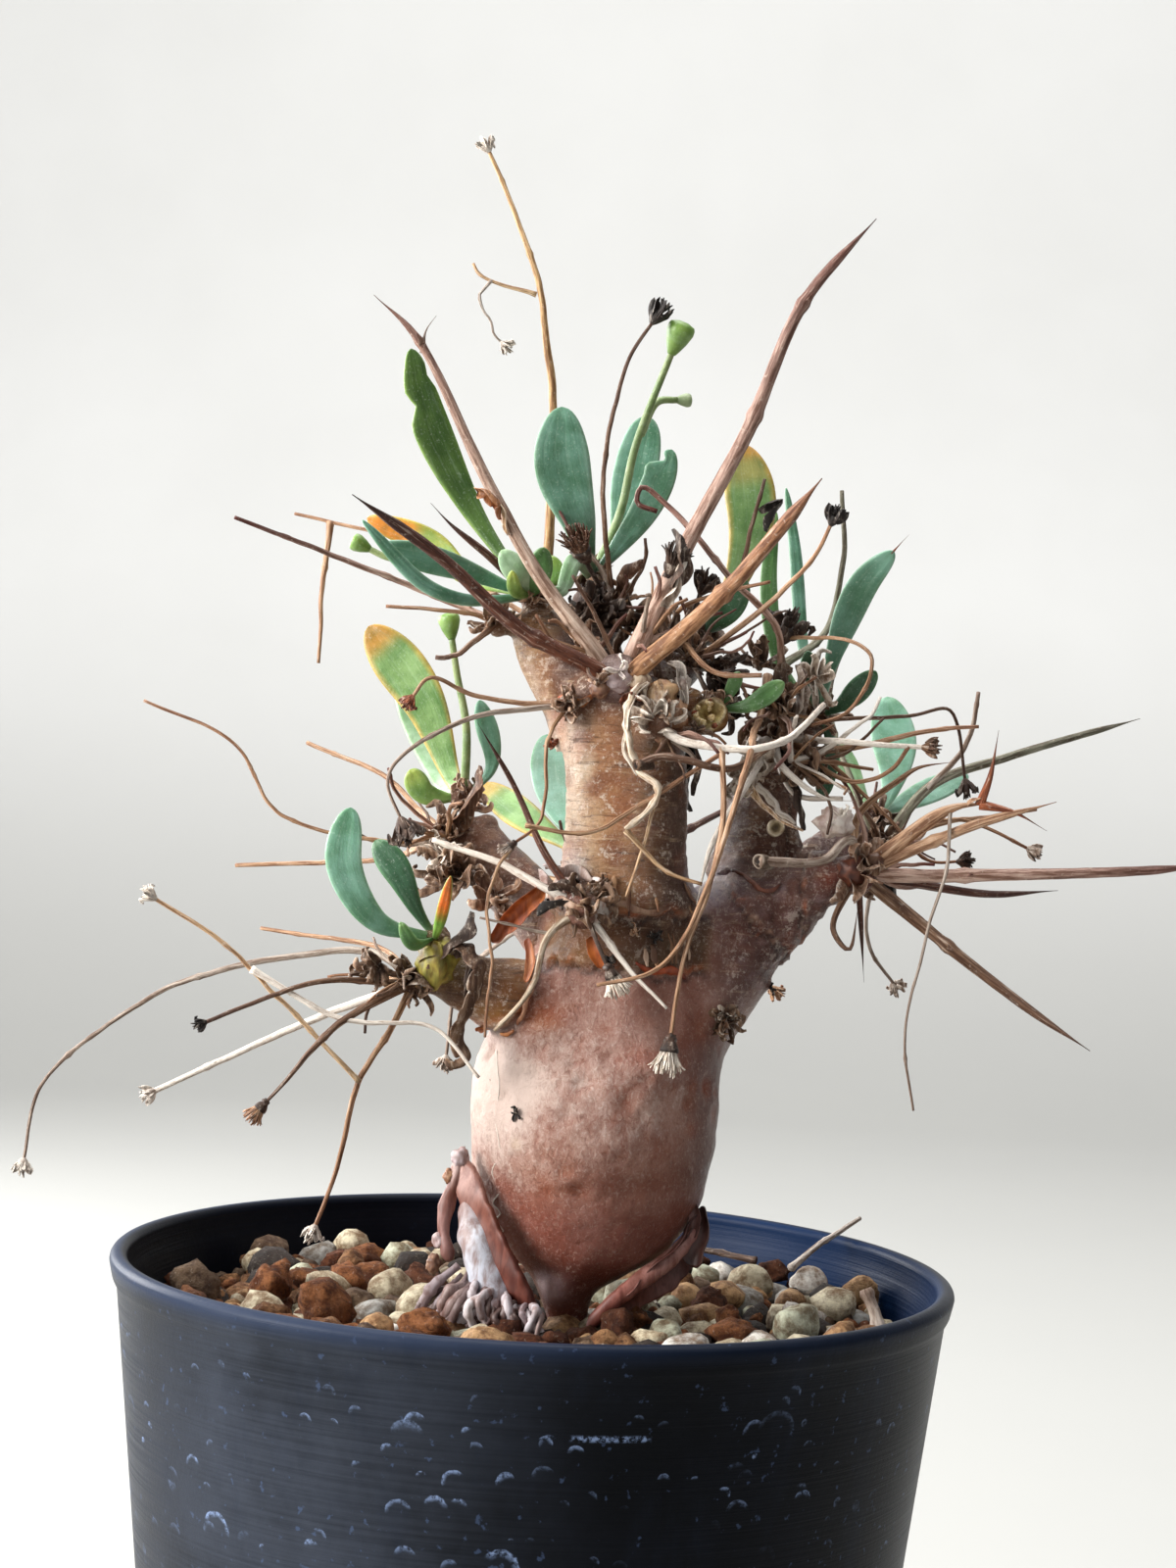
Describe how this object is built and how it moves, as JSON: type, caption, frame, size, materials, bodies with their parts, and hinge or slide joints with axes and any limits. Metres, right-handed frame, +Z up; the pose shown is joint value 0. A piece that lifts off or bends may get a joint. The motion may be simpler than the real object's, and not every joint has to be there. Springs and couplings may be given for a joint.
{
  "type": "potted othonna euphorbioides",
  "caption": "Caudiciform succulent with a swollen bare-barked stem, dry thorny stalks and small blue-green leaves, growing from gravel in a plain tapered plastic pot.",
  "frame": {"origin": "centre of the pot's underside", "axes": "+Z up along the pot's axis, -Y towards the plant's front, +X to the right as seen from the front"},
  "size_m": [0.1491, 0.1222, 0.2355],
  "materials": {
    "pot": "satin, scuffed",
    "gravel": "rough mineral grains",
    "bark": "waxy bark",
    "thorn": "dry fibrous",
    "dry": "dry papery",
    "leaf": "waxy bloom"
  },
  "bodies": {
    "root": {"pot": "pot", "gravel": "gravel", "caudex": "bark", "crown_thorns": "thorn", "right_thorns": "thorn", "stub_stalks": "dry", "crown_curls": "dry", "collar_stalks": "dry", "left_arm_stalks": "dry", "left_back_stalks": "dry", "top_left_stalks": "dry", "top_back_stalks": "dry", "top_stalks": "dry", "top_right_stalks": "dry", "right_top_stalks": "dry", "right_back_stalks": "dry", "back_stalks": "dry", "shoot_top_left": "leaf", "shoot_top_middle": "leaf", "shoot_top_right": "leaf", "shoot_stub": "leaf", "shoot_right_top": "leaf", "shoot_right_back": "leaf", "shoot_left_arm": "leaf", "shoot_left_back": "leaf", "shoot_back": "leaf"}
  },
  "joints": []
}
